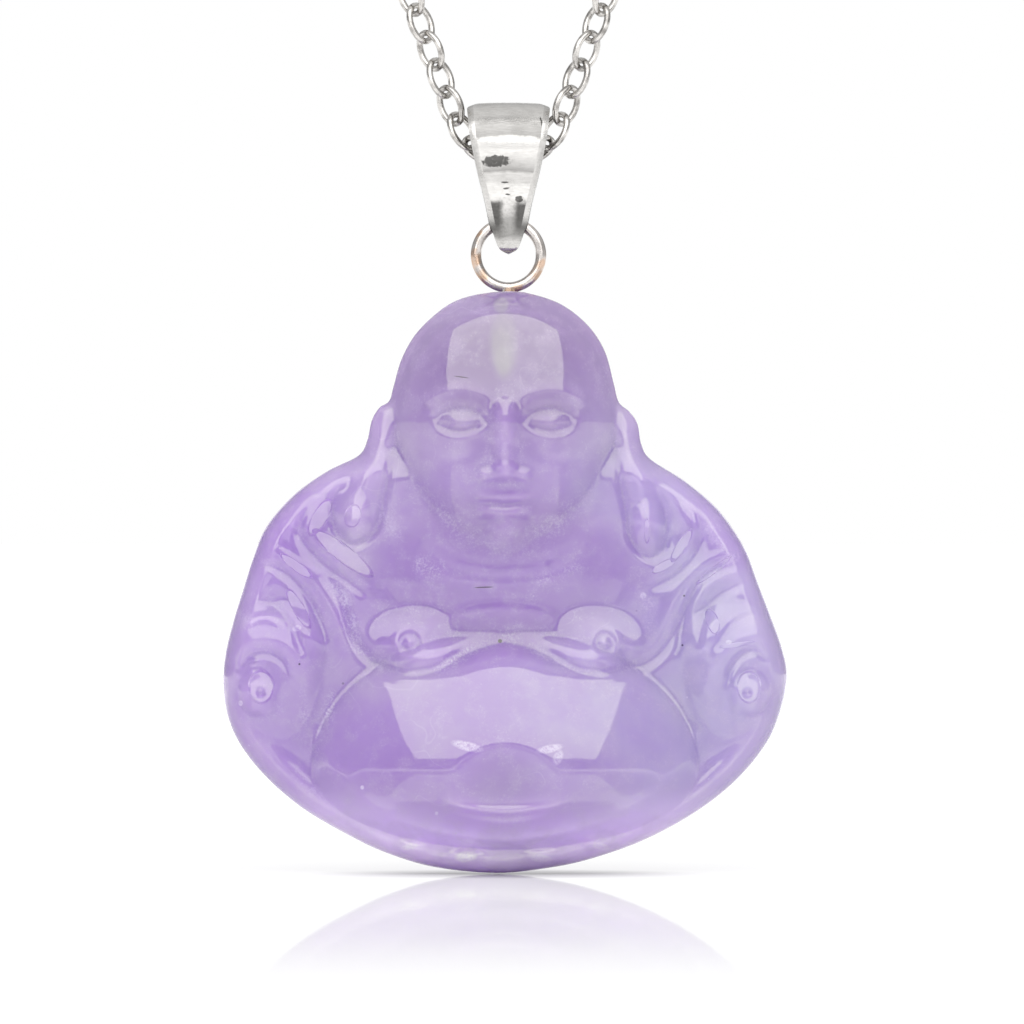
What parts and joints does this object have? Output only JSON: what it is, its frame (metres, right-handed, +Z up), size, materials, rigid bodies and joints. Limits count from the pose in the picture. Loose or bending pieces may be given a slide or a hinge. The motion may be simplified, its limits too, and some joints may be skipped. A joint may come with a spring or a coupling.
{
  "type": "carved jade pendant necklace",
  "caption": "Carved jade figure pendant hung by a peg ring and a tapered silver bail on a fine cable chain loop with a ring clasp.",
  "frame": {"origin": "top of the chain loop, in the middle of the clasp side, where it rests on the back of the neck", "axes": "+X towards the wearer's left, +Y from the carved front to the flat back, +Z up; the chain loop lies in the XZ plane"},
  "size_m": [0.091, 0.0076, 0.2138],
  "materials": {
    "chain_silver": "polished silver",
    "bail_silver": "polished silver with brushed facets",
    "ring_silver": "polished silver, faintly tarnished",
    "jade": "polished translucent lavender jade"
  },
  "bodies": {
    "chain": {"chain_left": "chain_silver", "chain_right": "chain_silver", "clasp": "chain_silver", "clasp_ring": "chain_silver"},
    "bail": {"bail": "bail_silver"},
    "pendant": {"eye_ring": "ring_silver", "stone": "jade"}
  },
  "joints": [
    {"name": "bail_swing", "type": "hinge", "parent": "chain", "child": "bail", "pos_m": [0, 0, -0.16831], "axis": [1, 0, 0], "range_deg": [-90, 90]},
    {"name": "pendant_sway", "type": "hinge", "parent": "bail", "child": "pendant", "pos_m": [0, 0, -0.17499], "axis": [0, 1, 0], "range_deg": [-85, 85]}
  ]
}
